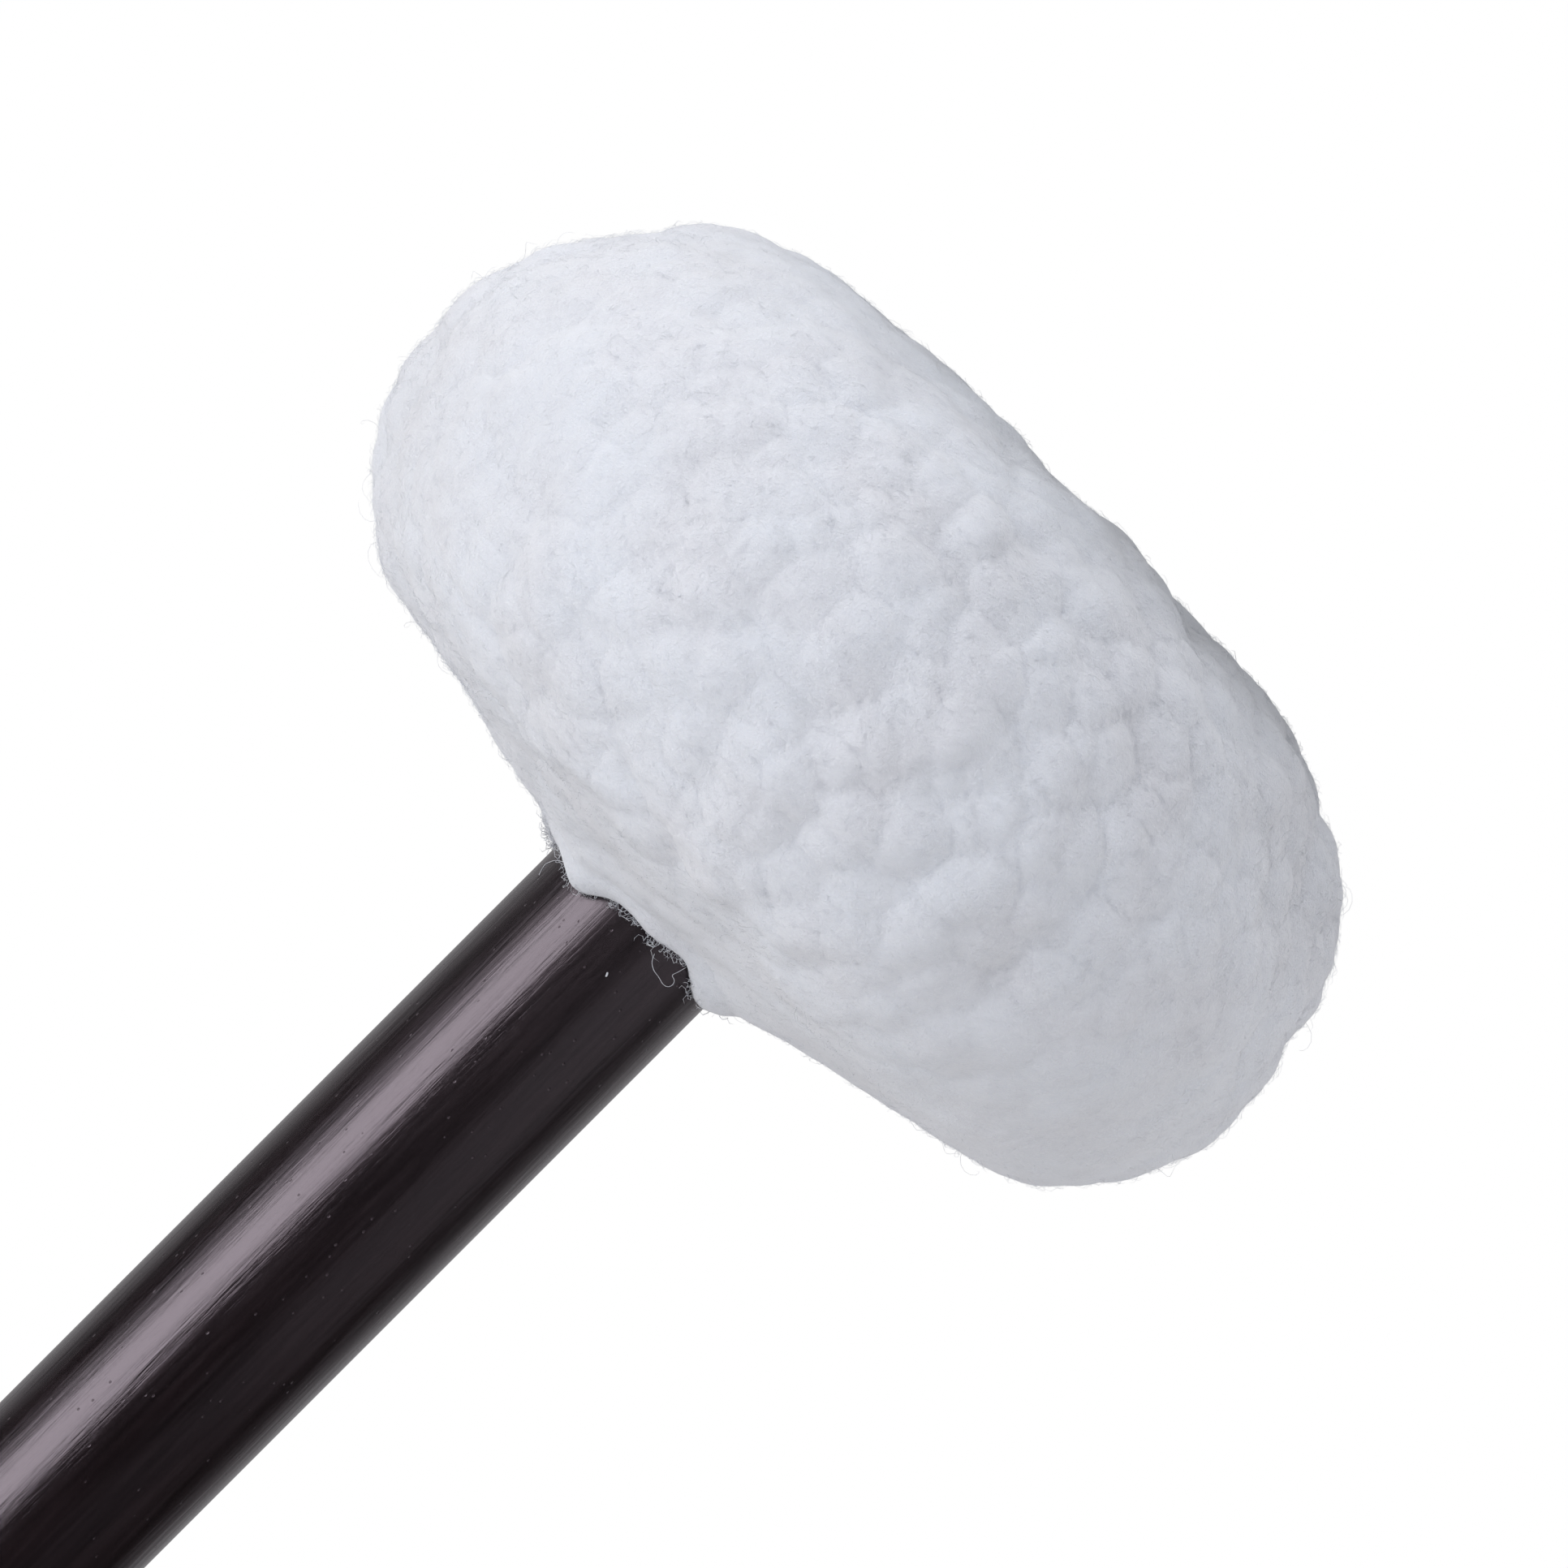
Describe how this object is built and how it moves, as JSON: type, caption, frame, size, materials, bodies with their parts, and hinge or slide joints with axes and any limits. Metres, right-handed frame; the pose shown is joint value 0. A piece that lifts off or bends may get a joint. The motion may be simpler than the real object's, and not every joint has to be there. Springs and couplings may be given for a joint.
{
  "type": "gong mallet",
  "caption": "Gong mallet: a round lacquered wooden handle with a broad, soft head of padded felt under long white fleece.",
  "frame": {"origin": "centre of the head's flat front face, on which the mallet stands", "axes": "+Z along the handle's axis, from the head towards the butt; X and Y across the head, which is round"},
  "size_m": [0.1275, 0.1275, 0.4],
  "materials": {
    "handle_wood": "very dark red-brown stain under a clear gloss lacquer",
    "core_wood": "turned, unfinished",
    "screw_steel": "zinc plated",
    "washer_steel": "zinc plated",
    "winding_felt": "dense grey wool felt",
    "linen_thread": "twisted linen thread",
    "pad_felt": "soft off-white wool felt",
    "lining_cotton": "unbleached plain weave cotton",
    "backing_knit": "white knit",
    "waxed_twine": "waxed twine",
    "fleece_pile": "long, soft, clumped white pile with a faint cool tint"
  },
  "bodies": {
    "root": {"handle_shaft": "handle_wood", "mallet_core": "core_wood", "core_screw": "screw_steel", "front_washer": "washer_steel", "felt_winding": "winding_felt", "closing_stitch": "linen_thread", "front_pad": "pad_felt", "rear_pad": "pad_felt", "lining_sock": "lining_cotton", "fleece_backing": "backing_knit", "neck_binding": "waxed_twine", "fleece_pile": "fleece_pile"}
  },
  "joints": []
}
